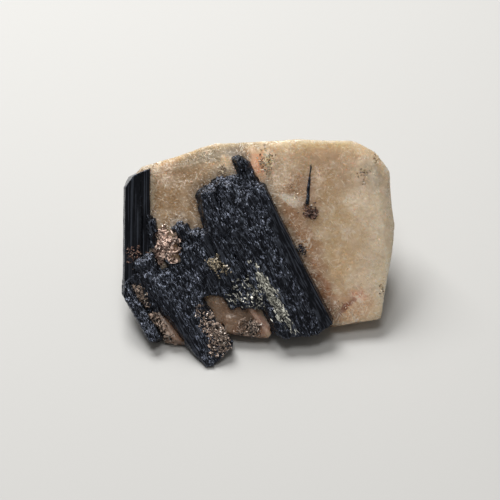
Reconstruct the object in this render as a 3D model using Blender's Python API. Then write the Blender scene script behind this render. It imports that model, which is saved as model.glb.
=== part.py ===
"""Black tourmaline in quartz: a broken lump of cloudy, smoky quartz with black tourmaline crystals and
small books of mica grown into it.

Everything is laid out in the frame of the show face, the broken side that the crystals stand out of:
x runs to the right, y into the stone and z up the face, in millimetres from the middle of the face.
The show_face empty leans that frame back, so that the lump rests on its flat underside at Z = 0.
"""

import math
import random
from collections import namedtuple

import bmesh
import bpy
from mathutils import Matrix, Vector

MM = 0.001

# Driving dimensions. The stone is 57.9 mm wide, seen square on its show face.
FACE_LEAN = math.radians(45)
TABLE_OFFSET = -20.1
FACE_CENTRE = Vector((-0.377, -2.163, -TABLE_OFFSET * math.cos(FACE_LEAN)))
BLOCK = 120.0
EDGE_WEAR = 0.5

# The gap left around a lump of mica. A crystal's pocket starts from a wider one, because it grows by the
# shares in the crystal's outline, and some of those are under 1.
GAP = 0.3
CRYSTAL_GAP = GAP * 1.3

# The flutes along every crystal that is wider than FLUTED_WIDTH.
FLUTE_PITCH = 0.85
FLUTE_DEPTH = 0.12
FLUTED_WIDTH = 1.5

# How far the lens that presses a shell-shaped hollow reaches, as a share of the hollow's own radius.
LENS_REACH = 1.35

# The table, seen from the show face: the points with z - y = TABLE_OFFSET.
TABLE = ((0, 0, TABLE_OFFSET), (0, 1, -1))

# The broken faces of the quartz: a point on each, and the way it faces.
QUARTZ_BREAKS = {
    "face_left": ((-15, 0, 5), (-0.06, -1, 0.06)),
    "face_right": ((12, -0.6, 3), (0.07, -1, 0.02)),
    "brow_bevel": ((-8, 1.1, 20.4), (-0.35, -1, 1.5)),
    "right_bevel": ((26.9, 0.6, 5), (0.7, -1, 0.1)),
    "corner_bevel": ((25.8, 1.0, 18.0), (0.7, -1, 0.8)),
    "toe_bevel": ((24.6, -0.1, -14.6), (0.5, -1, -0.5)),
    "lower_left_bevel": ((-23.6, -0.6, -12), (-0.9, -1, -0.5)),
    "top_left": ((-14.6, 3, 20.4), (-0.33, 0.12, 1)),
    "top": ((5, 3, 22.2), (0.0, 0.3, 1)),
    "top_right": ((22.8, 3, 21.5), (0.42, 0.2, 1)),
    "shoulder": ((26.2, 3, 19.1), (1, 0.15, 0.75)),
    "right_upper": ((29.1, 3, 6.5), (1, 0.12, 0.10)),
    "right_lower": ((27.5, 3, -4.7), (1, 0.2, -0.18)),
    "toe_under": ((20, 1.6, -15.9), (0, -0.15, -1)),
    "front_under": ((0, 0.4, -18.6), (0.16, -0.1, -1)),
    "left_under": ((-16.6, -2.4, -21.8), (-0.25, 0.35, -1)),
    "lower_left": ((-23.6, 2, -15.6), (-0.8, 0.25, -0.62)),
    "left": ((-26.6, 6, 4), (-1, 0.1, 0.02)),
    "upper_left": ((-25.6, 6, 15.0), (-0.75, 0.1, 0.7)),
    "back": ((0, 18, 18.5), (0.08, 1, 0.9)),
    "back_right": ((21, 17, 8), (0.8, 1, 0.35)),
    "back_left": ((-20, 17, 9), (-0.75, 1, 0.45)),
    "back_crown": ((-4, 12, 19.2), (-0.12, 0.75, 1)),
    "heel_left": ((-21, 12, -6), (-1, 0.55, -0.4)),
    "heel_right": ((24, 12, -5), (1, 0.6, -0.3)),
    "heel_back": ((2, 24, 3.9), (0.1, 0.93, -0.55)),
    "sole_left": ((-13, 0, -20.1), (-0.16, 0.7, -0.7)),
    "sole_right": ((17, 13, -7.1), (0.35, 0.75, -0.66)),
    "side_notch": ((-23.5, 16, 2), (-1, 0.45, 0.1)),
    "back_low": ((4, 25, 9), (0.15, 1, 0.12)),
}

# Shell-shaped breaks in the quartz: where the hollow is deepest, the way it faces, the radius of the
# shell and the depth of the hollow.
QUARTZ_SHELLS = {
    "shell_right": ((19, -0.1, 2), (0.07, -1, 0.02), 60, 0.55),
    "shell_upper_left": ((-16.5, 0.3, 12.5), (-0.06, -1, 0.06), 45, 0.45),
    "shell_crown": ((6, 9, 20.9), (0.05, 0.4, 1), 24, 1.2),
    "shell_back": ((8, 21, 15.2), (0.1, 1, 0.9), 22, 1.6),
    "shell_back_left": ((-21.5, 18, 8.0), (-0.75, 1, 0.45), 18, 1.3),
    "shell_right_side": ((27.4, 10, 2), (1, 0.25, -0.1), 20, 1.2),
}

# Outlines of a crystal across its length: half-widths across the face, half-depths towards the viewer.
SLAB = ((1, 0.05), (0.84, 0.86), (-0.72, 1), (-1, 0.35), (-0.74, -0.9), (0.45, -1))
HEXAGON = ((1, -0.05), (0.58, 0.92), (-0.5, 1), (-1, 0.1), (-0.55, -0.95), (0.5, -1))
THREE_SIDED = ((1, -0.55), (0.72, 0.3), (0.15, 1), (-0.35, 0.95), (-0.95, -0.1), (-1, -0.6), (0, -1))

# A tourmaline crystal: the ends of its axis, its width and depth at the top, the share of them that is
# left at the foot, its outline, and the oblique breaks at its ends.
Crystal = namedtuple("Crystal", "top foot width depth taper outline breaks")

CLUSTER = {
    "main": Crystal(
        (-7.6, 3.0, 17.2), (12.2, 1.2, -20.4), 15.6, 12.4, 0.86, SLAB,
        [((-10.7, -3.2, 4.6), (-0.13, -0.96, 0.26)), ((-6, 0, 15.6), (-0.12, -0.5, 1)),
         ((-10.9, 0, 13.2), (-0.8, -0.6, 1)), ((1.0, 0, 14.4), (0.35, -0.5, 1)),
         ((9, -3, -17.8), (0.08, 0.35, -1)), ((14.6, -3, -16.4), (0.75, 0.2, -1))],
    ),
    "main_ridge": Crystal(
        (-1.6, 1.6, 13.6), (14.6, 0.2, -18.6), 6.6, 8.6, 0.95, SLAB,
        [((0.2, -2, 12.2), (0, -0.9, 1)), ((11, -3, -17.4), (0.1, 0.3, -1)),
         ((14.8, -3, -16.0), (0.75, 0.2, -1))],
    ),
    "main_step": Crystal(
        (-11.6, 2.7, 4.2), (3.2, 0.9, -19.4), 5.2, 8.6, 1.0, SLAB,
        [((-11, -2, 3.0), (-0.3, -0.7, 1)), ((-1.5, -2, -12.0), (-0.2, 0.2, -1))],
    ),
    "knob": Crystal(
        (-4.3, -0.4, 20.6), (-0.2, 0.6, 12.2), 3.3, 3.6, 1.1, HEXAGON,
        [((-3.9, -0.4, 19.6), (-0.5, -0.5, 1)), ((-3.4, -0.4, 19.7), (0.7, -0.3, 1))],
    ),
    "shoulder": Crystal(
        (-15.4, 2.4, 3.9), (-7.6, 2.0, -11.0), 6.0, 8.2, 1.0, HEXAGON,
        [((-14.6, 0, 2.6), (-0.5, -0.8, 1)), ((-8.2, 0, -10.2), (-0.1, 0.1, -1))],
    ),
    "shoulder_rib": Crystal(
        (-12.2, 1.8, 4.6), (-3.4, 1.0, -11.6), 6.2, 8.0, 0.9, SLAB,
        [((-11.4, -2, 2.9), (0.1, -0.9, 1)), ((-4.2, 0, -10.0), (0.3, 0.2, -1))],
    ),
    "stub": Crystal(
        (-17.2, 0.6, 5.9), (-13.4, 1.2, 1.0), 3.2, 4.0, 1.3, HEXAGON,
        [((-16.8, 0, 5.4), (-0.6, -0.6, 1))],
    ),
    "bridge": Crystal(
        (-17.4, 1.4, -0.8), (-8.4, 0.0, -15.4), 5.4, 7.6, 0.95, SLAB,
        [((-16.6, -2, -1.6), (-0.4, -0.8, 1)), ((-8.6, -2, -14.0), (0.3, 0.1, -1))],
    ),
    "lower": Crystal(
        (-19.8, 1.6, -3.6), (-7.0, -1.7, -23.6), 9.2, 8.0, 0.88, SLAB,
        [((-18.6, -2, -4.6), (-0.5, -0.8, 1)), ((-6.2, -4, -21.0), (0.85, 0.1, -0.75)),
         ((-9.2, -4, -24.1), (-0.1, 0.1, -1)), ((-12.0, -4, -22.8), (-0.72, 0.1, -0.9))],
    ),
    "lower_rib": Crystal(
        (-23.2, 1.0, -4.6), (-11.4, -1.6, -21.8), 4.8, 6.4, 0.75, HEXAGON,
        [((-22.6, -2, -4.8), (-0.3, -0.7, 1)), ((-13.6, -4, -21.4), (-0.7, 0.1, -0.9))],
    ),
}
LEFT_PRISM = {
    "smooth_face": Crystal(
        (-25.8, 4.2, 18.0), (-26.0, 3.6, -6.6), 4.1, 8.8, 1.0, SLAB,
        [((-27.3, 0, 13.5), (-1, -0.2, 0.75)), ((-24.6, 0, 16.2), (-0.5, -0.1, 1))],
    ),
    "ribbed_face": Crystal(
        (-23.5, 4.6, 19.0), (-23.7, 4.2, -8.0), 3.0, 8.6, 1.0, HEXAGON,
        [((-23.6, 0, 16.6), (-0.4, -0.1, 1)), ((-23.6, 0, -7.6), (-0.3, -0.4, -1))],
    ),
}
EDGE_CRYSTALS = {
    "cap": Crystal(
        (-26.6, 2.4, -5.6), (-27.0, 1.6, -11.2), 3.6, 6.4, 1.0, HEXAGON,
        [((-27.4, 0, -6.2), (-0.5, -0.5, 1)), ((-27.4, 0, -10.4), (-0.9, 0, -0.5))],
    ),
    "blade": Crystal(
        (-27.7, 2.2, -7.6), (-20.6, -0.2, -19.2), 2.7, 5.6, 1.25, SLAB,
        [((-27.4, 0, -7.8), (-0.9, -0.2, 0.5)), ((-20.6, 0, -19.3), (-0.15, 0, -1))],
    ),
    "blade_rib": Crystal(
        (-24.6, 1.8, -9.2), (-20.0, 0.6, -17.4), 2.2, 4.8, 0.9, THREE_SIDED, [],
    ),
}
NEEDLE = Crystal((11.6, 0.0, 18.4), (10.7, -0.45, 9.5), 0.35, 0.60, 2.6, HEXAGON, [])
SLIVER = Crystal((-21.7, 0.1, 6.4), (-21.0, 0.3, 3.8), 1.0, 2.0, 1.2, HEXAGON, [])

# A patch of mica books: its middle, its half-length, half-width and half-height, and how far its
# length leans to the right of straight down the face, in degrees.
Patch = namedtuple("Patch", "middle length width height lean")

MICA = {
    "mica_rosette": Patch((11.5, -0.5, 7.6), 1.3, 1.8, 0.55, 0),
    "mica_pocket": Patch((-19.4, -0.6, -0.1), 3.0, 2.5, 1.1, 8),
    "mica_streak": Patch((4.0, -3.4, -10.8), 6.4, 1.15, 0.8, 30),
    "mica_patch": Patch((-8.8, -2.5, -2.8), 2.0, 1.4, 0.7, 60),
    "mica_foot": Patch((-7.6, -4.5, -17.4), 3.9, 2.0, 0.9, 26),
    "mica_window": Patch((-0.6, -1.8, -16.0), 1.9, 2.1, 0.8, 0),
    "mica_edge": Patch((-20.9, -2.0, -15.0), 3.2, 0.75, 0.8, 42),
    "mica_left": Patch((-24.0, -0.7, -10.0), 1.5, 1.2, 0.8, 20),
}
MICA_FACETS = 2
MICA_ROUGHNESS = 0.13


def in_metres(values):
    return Vector(values) * MM


def material(name, colour, roughness, **more):
    """A Principled finish. Colours are linear red, green and blue."""
    made = bpy.data.materials.new(name)
    made.use_nodes = True
    shader = made.node_tree.nodes["Principled BSDF"]
    shader.inputs["Base Color"].default_value = (*colour, 1)
    shader.inputs["Roughness"].default_value = roughness
    for socket, value in more.items():
        shader.inputs[socket].default_value = value
    made.diffuse_color = (*colour, 1)
    return made


def piece(name, bm, finish, face):
    """An object made of the mesh, placed by the show face's empty."""
    bmesh.ops.recalc_face_normals(bm, faces=bm.faces)
    mesh = bpy.data.meshes.new(name)
    bm.to_mesh(mesh)
    bm.free()
    made = bpy.data.objects.new(name, mesh)
    bpy.context.scene.collection.objects.link(made)
    made.parent = face
    if finish:
        mesh.materials.append(finish)
    return made


def cutter(name, bm, face):
    """A helper that a Boolean reads, kept out of the model."""
    made = piece(name, bm, None, face)
    made.hide_render = True
    made.display_type = "WIRE"
    return made


def boolean(target, other, operation):
    step = target.modifiers.new(f"{operation.lower()}_{other.name}", "BOOLEAN")
    step.operation = operation
    step.solver = "EXACT"
    step.object = other


def break_off(bm, point, facing, grow=0.0):
    """Breaks off what lies beyond a plane, and closes the new face."""
    outward = Vector(facing).normalized()
    cut = bmesh.ops.bisect_plane(
        bm,
        geom=bm.verts[:] + bm.edges[:] + bm.faces[:],
        dist=1e-8,
        plane_co=in_metres(point) + outward * grow * MM,
        plane_no=outward,
        clear_outer=True,
    )
    rim = [part for part in cut["geom_cut"] if isinstance(part, bmesh.types.BMEdge)]
    if rim:
        bmesh.ops.contextual_create(bm, geom=rim)


def quartz_block():
    """The lump before its crystals: a block broken on every side, with worn edges."""
    bm = bmesh.new()
    bmesh.ops.create_cube(bm, size=BLOCK * MM)
    for point, facing in QUARTZ_BREAKS.values():
        break_off(bm, point, facing)
    bmesh.ops.bevel(
        bm, geom=bm.edges[:], offset=EDGE_WEAR * MM, segments=1, affect="EDGES", clamp_overlap=True
    )
    break_off(bm, *TABLE)
    bmesh.ops.remove_doubles(bm, verts=bm.verts, dist=1e-6)
    return bm


def shell(deepest, facing, radius, depth, segments=20, rings=4):
    """A lens whose round side presses a shell-shaped hollow into the quartz."""
    outward = Vector(facing).normalized()
    turn = outward.to_track_quat("Z", "Y").to_matrix().to_4x4()
    reach = math.sqrt(2 * radius * depth) * LENS_REACH
    bm = bmesh.new()
    lowest = bm.verts.new((0, 0, 0))
    loops = []
    for ring in range(1, rings + 1):
        out = reach * ring / rings
        height = radius - math.sqrt(radius**2 - out**2)
        angles = [2 * math.pi * step / segments for step in range(segments)]
        loops.append([bm.verts.new((out * math.cos(a), out * math.sin(a), height)) for a in angles])
    for step in range(segments):
        after = (step + 1) % segments
        bm.faces.new((lowest, loops[0][after], loops[0][step]))
        for inner, outer in zip(loops, loops[1:]):
            bm.faces.new((inner[step], inner[after], outer[after], outer[step]))
    bm.faces.new(loops[-1])
    place = Matrix.Translation(in_metres(deepest)) @ turn @ Matrix.Scale(MM, 4)
    bmesh.ops.transform(bm, matrix=place, verts=bm.verts)
    return bm


def fluted(outline, half_width, half_depth):
    """The outline at its real size, with fine flutes sunk along every side."""
    corners = [Vector((across * half_width, out * half_depth)) for across, out in outline]
    points = []
    for corner, after in zip(corners, corners[1:] + corners[:1]):
        side = after - corner
        inward = Vector((-side.y, side.x)).normalized()
        steps = max(1, round(side.length / FLUTE_PITCH))
        for step in range(steps):
            sunk = FLUTE_DEPTH if step % 2 else 0
            points.append(corner + side * step / steps + inward * sunk)
    return points


def cross_section(spec, share, grow):
    """The points around a crystal at a place along it, where a share of its width is left."""
    half_width, half_depth = spec.width / 2, spec.depth / 2
    if grow or spec.width < FLUTED_WIDTH:
        return [
            Vector((across * (half_width * share + grow), out * (half_depth * share + grow)))
            for across, out in spec.outline
        ]
    return [point * share for point in fluted(spec.outline, half_width, half_depth)]


def crystal(spec, grow=0.0):
    """A tourmaline prism with fluted sides, or, grown by a gap, the plain pocket that it leaves."""
    top, foot = Vector(spec.top), Vector(spec.foot)
    axis = (foot - top).normalized()
    viewer = Vector((0, -1, 0))
    out = (viewer - axis * viewer.dot(axis)).normalized()
    across = out.cross(axis)
    bm = bmesh.new()
    rings = []
    for end, share in ((top - axis * grow, 1), (foot + axis * grow, spec.taper)):
        section = cross_section(spec, share, grow)
        rings.append([bm.verts.new((end + across * p.x + out * p.y) * MM) for p in section])
    first, last = rings
    bm.faces.new(first)
    bm.faces.new(last)
    for index in range(len(first)):
        after = (index + 1) % len(first)
        bm.faces.new((first[index], first[after], last[after], last[index]))
    for point, facing in spec.breaks:
        break_off(bm, point, facing, grow)
    if not grow:
        break_off(bm, *TABLE)
    return bm


def crystal_group(name, specs, finish, face):
    """Crystals grown together, joined in one solid, and the pockets that they leave."""
    bodies = [
        piece(name, crystal(spec), finish, face) if index == 0
        else cutter(f"{name}_{part}", crystal(spec), face)
        for index, (part, spec) in enumerate(specs.items())
    ]
    for body in bodies[1:]:
        boolean(bodies[0], body, "UNION")
    pockets = [
        cutter(f"pocket_{name}_{part}", crystal(spec, CRYSTAL_GAP), face) for part, spec in specs.items()
    ]
    return bodies[0], pockets


def mica_lump(patch, seed, grow=0.0):
    """A low, blocky lump of mica books. The same seed gives the same lump, grown or not."""
    draw = random.Random(seed)
    bm = bmesh.new()
    bmesh.ops.create_icosphere(bm, subdivisions=MICA_FACETS, radius=1)
    lean = Matrix.Rotation(-math.radians(patch.lean), 4, "Y")
    size = Vector((patch.width, patch.height, patch.length)) + Vector((grow, grow, grow))
    for vertex in bm.verts:
        swell = 1 + MICA_ROUGHNESS * draw.uniform(-1, 1)
        vertex.co = lean @ Vector([a * b * swell for a, b in zip(vertex.co, size)])
        vertex.co = (vertex.co + Vector(patch.middle)) * MM
    return bm


def build():
    for old in list(bpy.data.objects):
        bpy.data.objects.remove(old)
    face = bpy.data.objects.new("show_face", None)
    bpy.context.scene.collection.objects.link(face)
    face.location = FACE_CENTRE * MM
    face.rotation_euler = (-FACE_LEAN, 0, 0)

    cloudy_quartz = material("cloudy_quartz", (0.40, 0.32, 0.23), 0.35, IOR=1.544)
    black_tourmaline = material("black_tourmaline", (0.010, 0.011, 0.015), 0.3, IOR=1.64)
    pink_mica = material("pink_mica", (0.36, 0.25, 0.19), 0.35, Metallic=0.2)

    quartz = piece("quartz_matrix", quartz_block(), cloudy_quartz, face)
    for name, hollow in QUARTZ_SHELLS.items():
        boolean(quartz, cutter(name, shell(*hollow), face), "DIFFERENCE")

    cluster, cluster_pockets = crystal_group("tourmaline_cluster", CLUSTER, black_tourmaline, face)
    prism, prism_pockets = crystal_group("tourmaline_left_prism", LEFT_PRISM, black_tourmaline, face)
    edge, edge_pockets = crystal_group("tourmaline_edge_crystals", EDGE_CRYSTALS, black_tourmaline, face)
    _, needle_pockets = crystal_group("tourmaline_needle", {"needle": NEEDLE}, black_tourmaline, face)
    _, sliver_pockets = crystal_group("tourmaline_sliver", {"sliver": SLIVER}, black_tourmaline, face)

    for pocket in cluster_pockets + prism_pockets + edge_pockets + needle_pockets + sliver_pockets:
        boolean(quartz, pocket, "DIFFERENCE")
    for pocket in prism_pockets + edge_pockets:
        boolean(cluster, pocket, "DIFFERENCE")
    for pocket in prism_pockets:
        boolean(edge, pocket, "DIFFERENCE")

    for seed, (name, patch) in enumerate(MICA.items()):
        piece(name, mica_lump(patch, seed), pink_mica, face)
        pocket = cutter(f"pocket_{name}", mica_lump(patch, seed, GAP), face)
        for solid in (quartz, cluster, prism, edge):
            boolean(solid, pocket, "DIFFERENCE")


build()
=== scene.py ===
"""The looks of a hand specimen: black tourmaline crystals and pink mica grown into cloudy, smoky quartz."""

import math
import random
from collections import namedtuple

import bpy
from mathutils import Matrix, Vector


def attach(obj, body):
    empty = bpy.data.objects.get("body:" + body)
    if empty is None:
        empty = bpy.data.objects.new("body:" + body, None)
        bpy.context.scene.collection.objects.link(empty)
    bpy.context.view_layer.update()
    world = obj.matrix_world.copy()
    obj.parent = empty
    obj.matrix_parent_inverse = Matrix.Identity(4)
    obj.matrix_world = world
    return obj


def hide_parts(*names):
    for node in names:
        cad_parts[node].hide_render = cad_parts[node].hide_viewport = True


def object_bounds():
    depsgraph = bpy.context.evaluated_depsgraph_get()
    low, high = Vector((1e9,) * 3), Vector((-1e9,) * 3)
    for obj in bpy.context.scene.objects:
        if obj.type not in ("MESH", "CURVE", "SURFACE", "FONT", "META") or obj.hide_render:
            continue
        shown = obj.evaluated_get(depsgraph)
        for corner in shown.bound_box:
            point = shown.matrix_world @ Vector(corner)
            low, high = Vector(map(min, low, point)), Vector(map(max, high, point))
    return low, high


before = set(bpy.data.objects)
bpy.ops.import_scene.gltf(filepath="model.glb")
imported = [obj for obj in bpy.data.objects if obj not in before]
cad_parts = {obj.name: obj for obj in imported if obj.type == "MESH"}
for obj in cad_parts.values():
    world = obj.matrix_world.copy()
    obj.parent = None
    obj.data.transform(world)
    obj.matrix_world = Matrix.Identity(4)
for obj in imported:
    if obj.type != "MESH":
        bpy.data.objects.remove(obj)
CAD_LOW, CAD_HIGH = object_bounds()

MM = 0.001

# The show face, as the solids have it: x to the right, y into the stone, z up the face, in millimetres.
# The face leans back, the stone is broken out of a cube this large, and the table cuts it off flat.
FACE_LEAN = math.radians(45)
TABLE_OFFSET = -20.1
FACE_CENTRE = Vector((-0.377, -2.163, -TABLE_OFFSET * math.cos(FACE_LEAN))) * MM
BLOCK = 120.0
TABLE = ((0, 0, TABLE_OFFSET), (0, 1, -1))

# The soft boxes of the studio: where each hangs in metres, its width and its power in watts.
SOFT_BOXES = (
    ((-0.14, 0.30, 0.48), 0.34, 4.8),
    ((-0.02, -0.12, 0.62), 0.2, 1.2),
)
LIGHT_COLOUR = "#fff9f1"

# The faint light of the room, and how many metres the paper under the stone is wide.
ROOM_COLOUR = "#f6ecde"
ROOM_STRENGTH = 0.22
FLOOR_WIDTH = 3

# The camera looks square at the show face, from a little to its left.
CAMERA_DISTANCE = 0.40
CAMERA_ASIDE = -0.00126
FRAME_WIDTH = 0.105
SENSOR = 36.0

# The broken faces of the quartz: a point on each, and the way it faces.
QUARTZ_BREAKS = {
    "face_left": ((-15, 0, 5), (-0.06, -1, 0.06)),
    "face_right": ((12, -0.6, 3), (0.07, -1, 0.02)),
    "brow_bevel": ((-8, 0.8, 20.4), (-0.12, -1, 0.34)),
    "right_bevel": ((26.9, 0.6, 5), (0.7, -1, 0.1)),
    "corner_bevel": ((25.8, 1.0, 18.0), (0.7, -1, 0.8)),
    "toe_bevel": ((24.6, -0.1, -14.6), (0.5, -1, -0.5)),
    "lower_left_bevel": ((-23.6, -0.6, -12), (-0.9, -1, -0.5)),
    "top_left": ((-14.6, 3, 20.4), (-0.33, 0.12, 1)),
    "top": ((5, 3, 22.2), (0.0, 0.3, 1)),
    "top_right": ((22.8, 3, 21.5), (0.42, 0.2, 1)),
    "shoulder": ((26.2, 3, 19.1), (1, 0.15, 0.75)),
    "right_upper": ((29.1, 3, 6.5), (1, 0.12, 0.10)),
    "right_lower": ((27.5, 3, -4.7), (1, 0.2, -0.18)),
    "toe_under": ((20, 1.6, -15.9), (0, -0.15, -1)),
    "front_under": ((0, 0.4, -18.6), (0.16, -0.1, -1)),
    "left_under": ((-16.6, -2.4, -21.8), (-0.25, 0.35, -1)),
    "lower_left": ((-23.6, 2, -15.6), (-0.8, 0.25, -0.62)),
    "left": ((-26.6, 6, 4), (-1, 0.1, 0.02)),
    "upper_left": ((-25.6, 6, 15.0), (-0.75, 0.1, 0.7)),
    "back": ((0, 18, 18.5), (0.08, 1, 0.9)),
    "back_right": ((21, 17, 8), (0.8, 1, 0.35)),
    "back_left": ((-20, 17, 9), (-0.75, 1, 0.45)),
    "back_crown": ((-4, 12, 19.2), (-0.12, 0.75, 1)),
    "heel_left": ((-21, 12, -6), (-1, 0.55, -0.4)),
    "heel_right": ((24, 12, -5), (1, 0.6, -0.3)),
    "heel_back": ((2, 24, 3.9), (0.1, 0.93, -0.55)),
    "sole_left": ((-13, 0, -20.1), (-0.16, 0.7, -0.7)),
    "sole_right": ((17, 13, -7.1), (0.35, 0.75, -0.66)),
    "side_notch": ((-23.5, 16, 2), (-1, 0.45, 0.1)),
    "back_low": ((4, 25, 9), (0.15, 1, 0.12)),
}

# Shell-shaped breaks: where the hollow is deepest, the way it faces, and the radius of the shell.
QUARTZ_SHELLS = {
    "shell_right": ((19, -0.1, 2), (0.07, -1, 0.02), 60),
    "shell_upper_left": ((-16.5, 0.3, 12.5), (-0.06, -1, 0.06), 45),
    "shell_crown": ((6, 9, 20.9), (0.05, 0.4, 1), 24),
    "shell_back": ((8, 21, 15.2), (0.1, 1, 0.9), 22),
    "shell_back_left": ((-21.5, 18, 8.0), (-0.75, 1, 0.45), 18),
    "shell_right_side": ((27.4, 10, 2), (1, 0.25, -0.1), 20),
}

# Outlines of a crystal across its length: half-widths across the face, half-depths towards the viewer.
SLAB = ((1, 0.05), (0.84, 0.86), (-0.72, 1), (-1, 0.35), (-0.74, -0.9), (0.45, -1))
HEXAGON = ((1, -0.05), (0.58, 0.92), (-0.5, 1), (-1, 0.1), (-0.55, -0.95), (0.5, -1))
THREE_SIDED = ((1, -0.55), (0.72, 0.3), (0.15, 1), (-0.35, 0.95), (-0.95, -0.1), (-1, -0.6), (0, -1))

# A tourmaline crystal: the ends of its axis, its width and depth at the top, the share of them that is
# left at the foot, its outline, and the oblique breaks at its ends.
Crystal = namedtuple("Crystal", "top foot width depth taper outline breaks")

CLUSTER = {
    "main": Crystal(
        (-7.6, 3.0, 17.2), (12.2, 1.2, -20.4), 15.6, 12.4, 0.86, SLAB,
        [((-10.7, -3.2, 4.6), (-0.13, -0.96, 0.26)), ((-6, 0, 15.6), (-0.12, -0.5, 1)),
         ((-10.9, 0, 13.2), (-0.8, -0.6, 1)), ((1.0, 0, 14.4), (0.35, -0.5, 1)),
         ((-12.0, 0, 12.4), (-1, -0.3, 0.6)),
         ((9, -3, -17.8), (0.08, 0.35, -1)), ((14.6, -3, -16.4), (0.75, 0.2, -1))],
    ),
    "main_ridge": Crystal(
        (-1.6, 1.6, 13.6), (14.6, 0.2, -18.6), 6.6, 8.6, 0.95, SLAB,
        [((0.2, -2, 12.2), (0, -0.9, 1)), ((11, -3, -17.4), (0.1, 0.3, -1)),
         ((14.8, -3, -16.0), (0.75, 0.2, -1))],
    ),
    "main_step": Crystal(
        (-11.6, 2.7, 4.2), (3.2, 0.9, -19.4), 5.2, 8.6, 1.0, SLAB,
        [((-11, -2, 3.0), (-0.3, -0.7, 1)), ((-1.5, -2, -12.0), (-0.2, 0.2, -1))],
    ),
    "knob": Crystal(
        (-4.1, -0.4, 20.8), (-0.2, 0.6, 12.2), 3.7, 3.8, 1.05, HEXAGON,
        [((-3.9, -0.4, 19.7), (-0.6, -0.5, 1)), ((-3.2, -0.4, 19.7), (0.6, -0.3, 1))],
    ),
    "shoulder": Crystal(
        (-15.4, 2.4, 3.9), (-7.6, 2.0, -11.0), 6.0, 8.2, 1.0, HEXAGON,
        [((-14.6, 0, 2.6), (-0.5, -0.8, 1)), ((-8.2, 0, -9.4), (-0.1, 0.1, -1))],
    ),
    "shoulder_rib": Crystal(
        (-12.2, 1.8, 4.6), (-3.0, 1.0, -12.8), 6.2, 8.0, 0.78, SLAB,
        [((-11.4, -2, 2.9), (0.1, -0.9, 1)), ((-4.2, 0, -11.8), (0.3, 0.2, -1))],
    ),
    "stub": Crystal(
        (-17.2, 0.6, 5.9), (-13.4, 1.2, 1.0), 3.2, 4.0, 1.3, HEXAGON,
        [((-16.8, 0, 5.4), (-0.6, -0.6, 1))],
    ),
    "bridge": Crystal(
        (-17.4, 1.4, -0.8), (-8.4, 0.0, -15.4), 5.4, 7.6, 0.95, SLAB,
        [((-16.6, -2, -1.6), (-0.4, -0.8, 1)), ((-10.4, -2, -9.6), (0.2, 0.1, -1))],
    ),
    "lower": Crystal(
        (-19.8, 1.6, -3.6), (-7.0, -1.7, -23.6), 9.2, 8.0, 0.88, SLAB,
        [((-18.6, -2, -4.6), (-0.5, -0.8, 1)), ((-6.2, -4, -21.0), (0.85, 0.1, -0.75)),
         ((-9.2, -4, -24.1), (-0.1, 0.1, -1)), ((-12.0, -4, -22.8), (-0.72, 0.1, -0.9))],
    ),
    "lower_rib": Crystal(
        (-23.2, 1.0, -4.6), (-11.4, -1.6, -21.8), 4.8, 6.4, 0.75, HEXAGON,
        [((-22.6, -2, -4.8), (-0.3, -0.7, 1)), ((-13.6, -4, -21.4), (-0.7, 0.1, -0.9))],
    ),
}
SMALL_CRYSTALS = {
    "main_end": Crystal(
        (-10.6, 1.4, 13.4), (-8.0, 1.2, 3.0), 5.4, 9.0, 1.1, HEXAGON,
        [((-11.8, 0, 12.4), (-1, -0.3, 0.8)), ((-11.6, -2, 12.8), (0, -0.9, 1))],
    ),
    "left_lobe": Crystal(
        (-11.0, 0.2, 13.6), (-9.6, 0.2, 6.6), 3.7, 6.4, 1.15, HEXAGON,
        [((-11.4, 0, 12.9), (-0.9, -0.5, 1)), ((-10.6, -2, 12.6), (0.4, -0.7, 1))],
    ),
    "top_lobe": Crystal(
        (-7.7, 0.4, 15.4), (-5.3, 0.4, 8.4), 5.2, 6.4, 1.1, HEXAGON,
        [((-8.8, 0, 14.2), (-0.8, -0.4, 1)), ((-6.8, -2, 14.0), (0.2, -0.8, 1))],
    ),
    "infill": Crystal(
        (-23.9, 1.2, -1.6), (-17.6, 1.2, -13.0), 6.4, 6.6, 1.0, HEXAGON,
        [((-23.4, -2, -2.4), (-0.2, -0.8, 1))],
    ),
    "infill_low": Crystal((-25.4, 1.4, -5.4), (-20.4, 1.0, -14.4), 5.2, 6.0, 0.8, HEXAGON, []),
    "knob_side": Crystal((-2.8, -0.2, 17.8), (0.4, 0.6, 12.4), 3.4, 3.4, 1.0, HEXAGON, []),
    "knob_lump": Crystal((-4.1, -0.9, 19.0), (-2.9, -0.6, 16.8), 2.1, 3.9, 1.2, THREE_SIDED, []),
    "stub_side": Crystal((-15.8, 0.6, 4.9), (-12.6, 1.2, 0.2), 4.2, 4.4, 1.2, THREE_SIDED, []),
    "middle": Crystal((-14.0, 1.2, 0.6), (-8.4, 1.2, -8.2), 7.0, 7.6, 0.9, SLAB, []),
    "inner": Crystal((-9.0, 1.4, 4.2), (-1.0, 1.2, -11.8), 5.6, 9.6, 1.0, HEXAGON, []),
}
LEFT_PRISM = {
    "smooth_face": Crystal(
        (-25.9, 4.2, 18.0), (-26.1, 3.6, -6.6), 4.3, 8.8, 1.0, SLAB,
        [((-27.3, 0, 13.5), (-1, -0.2, 0.75)), ((-24.6, 0, 16.2), (-0.5, -0.1, 1))],
    ),
    "ribbed_face": Crystal(
        (-23.3, 4.6, 19.0), (-23.5, 4.2, -8.0), 3.7, 9.3, 1.0, HEXAGON,
        [((-23.6, 0, 16.6), (-0.4, -0.1, 1)), ((-23.6, 0, -7.6), (-0.3, -0.4, -1))],
    ),
    "foot": Crystal(
        (-23.2, 4.6, 10.0), (-23.2, 4.0, -5.6), 3.7, 9.4, 1.0, HEXAGON,
        [((-23.6, 0, -5.0), (-0.3, -0.4, -1))],
    ),
}
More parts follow.
